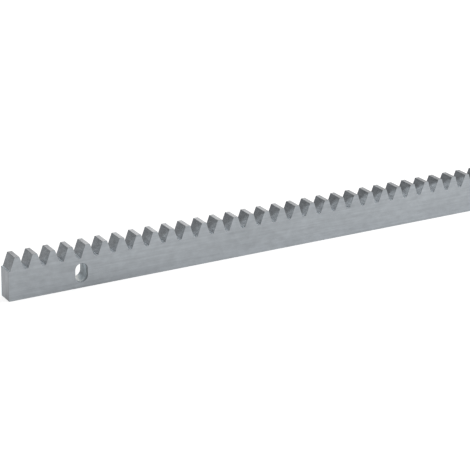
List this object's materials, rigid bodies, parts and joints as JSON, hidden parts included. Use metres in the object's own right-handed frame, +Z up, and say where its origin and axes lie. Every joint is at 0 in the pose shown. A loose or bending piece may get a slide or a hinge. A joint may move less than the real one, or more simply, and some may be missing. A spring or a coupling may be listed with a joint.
{
  "type": "straight gear rack",
  "caption": "Straight steel gear rack: a flat bar with spur teeth cut along its top edge, which a pinion drives along, and upright slots for its fixing screws.",
  "frame": {"origin": "on the base, under the middle of the bar, where a gap between two teeth is centred", "axes": "+X along the bar, +Y from its front face to its back face, +Z up from the base to the tips of the teeth"},
  "size_m": [1.0054, 0.012, 0.03],
  "materials": {
    "steel": "satin drawn faces and ends, milled tooth flanks"
  },
  "bodies": {
    "root": {"bar": "steel", "teeth": "steel"}
  },
  "joints": []
}
